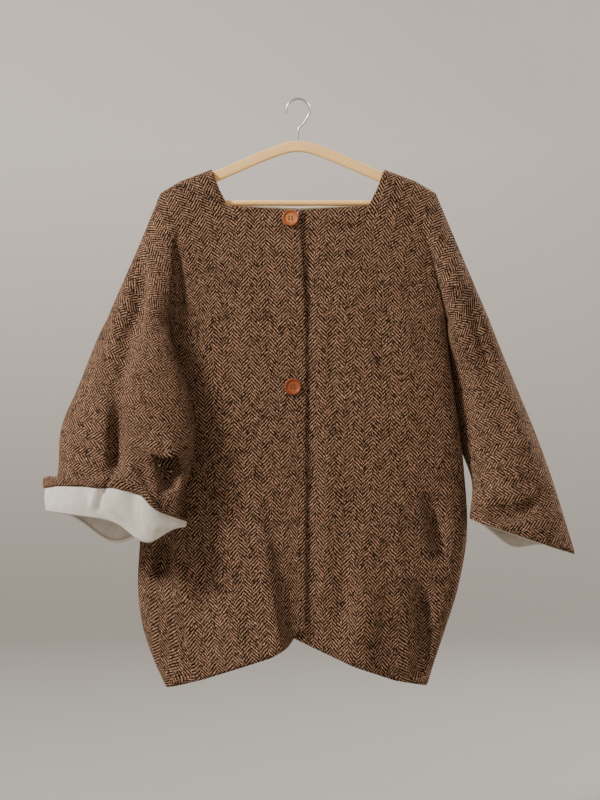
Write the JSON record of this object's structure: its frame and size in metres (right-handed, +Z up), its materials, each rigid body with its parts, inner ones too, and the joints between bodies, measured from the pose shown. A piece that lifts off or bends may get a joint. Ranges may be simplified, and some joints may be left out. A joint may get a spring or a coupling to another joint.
{
  "type": "reversible jacket on a wooden clothes hanger",
  "caption": "Loose collarless jacket with wide kimono sleeves, herringbone tweed outside and linen inside, buttoned at the front and hung on a wooden hanger.",
  "frame": {"origin": "inside top of the hook, where it hangs on a rail", "axes": "+Z up; the jacket's front faces -Y; the wearer's right is at -X"},
  "size_m": [0.8445, 0.195, 0.9463],
  "materials": {
    "tweed": "brown herringbone wool tweed, slightly fuzzy",
    "linen": "natural off-white plain-woven linen",
    "button": "polished reddish brown with a raised rim",
    "wood": "pale lacquered wood",
    "steel": "bright wire"
  },
  "bodies": {
    "root": {"front_right": "tweed", "front_left": "tweed", "back_right": "tweed", "back_left": "tweed", "cuff_hem_right": "tweed", "cuff_linen_right": "linen", "sleeve_lining_right": "linen", "sleeve_lining_left": "linen", "neck_lining_back": "linen", "button_upper": "button", "button_lower": "button", "hanger_arms": "wood", "hanger_bar": "wood", "hanger_hook": "steel"}
  },
  "joints": []
}
